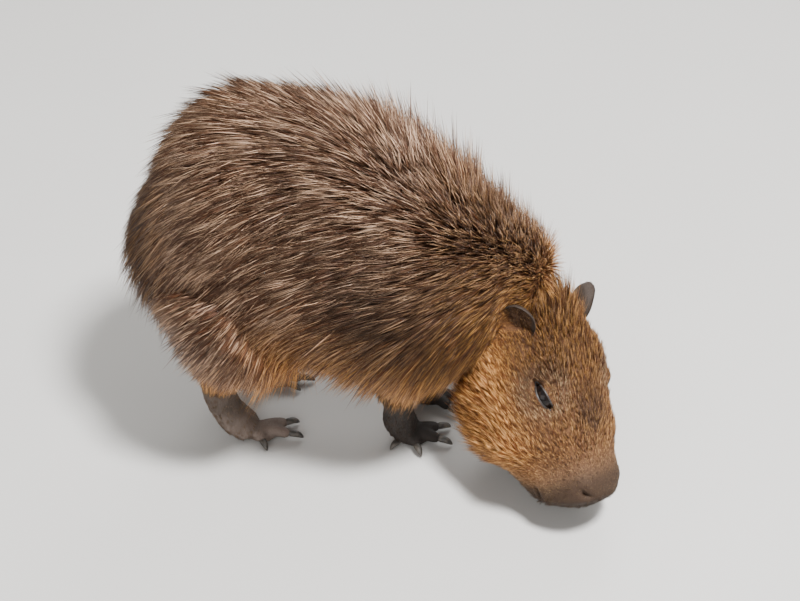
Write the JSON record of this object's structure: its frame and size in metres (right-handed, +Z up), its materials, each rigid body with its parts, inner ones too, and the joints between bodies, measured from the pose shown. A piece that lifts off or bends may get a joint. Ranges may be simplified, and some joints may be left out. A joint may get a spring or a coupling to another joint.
{
  "type": "capybara model",
  "caption": "Still model of a young capybara grazing, head lowered and turned aside, with a long coarse coat, bare webbed feet and blunt claws.",
  "frame": {"origin": "middle of the footprint of the object's box, on the floor", "axes": "+Z up, +X from rump to nape along the body, +Y to the animal's left"},
  "size_m": [0.6072, 0.315, 0.4796],
  "materials": {
    "coat": "long coarse hair, dark brown with tan and gold tips",
    "face_fur": "short dense hair, orange-brown on the forehead, grey-brown on the muzzle",
    "bare_skin": "nearly bare, dark, finely wrinkled skin",
    "eye": "wet, very dark brown",
    "claw": "dull grey-brown horn"
  },
  "bodies": {
    "root": {"eye_right": "eye", "ear_right": "bare_skin", "eye_left": "eye", "ear_left": "bare_skin", "head": "face_fur", "claw_hind_right_1": "claw", "claw_hind_right_2": "claw", "claw_hind_right_3": "claw", "foot_hind_right": "bare_skin", "lower_leg_hind_right": "bare_skin", "claw_hind_left_1": "claw", "claw_hind_left_2": "claw", "claw_hind_left_3": "claw", "foot_hind_left": "bare_skin", "lower_leg_hind_left": "bare_skin", "claw_fore_right_1": "claw", "claw_fore_right_2": "claw", "claw_fore_right_3": "claw", "claw_fore_right_4": "claw", "foot_fore_right": "bare_skin", "lower_leg_fore_right": "bare_skin", "claw_fore_left_1": "claw", "claw_fore_left_2": "claw", "claw_fore_left_3": "claw", "claw_fore_left_4": "claw", "foot_fore_left": "bare_skin", "lower_leg_fore_left": "bare_skin", "upper_leg_hind_right": "coat", "upper_leg_hind_left": "coat", "upper_leg_fore_right": "coat", "upper_leg_fore_left": "coat", "torso": "coat", "neck": "coat"}
  },
  "joints": []
}
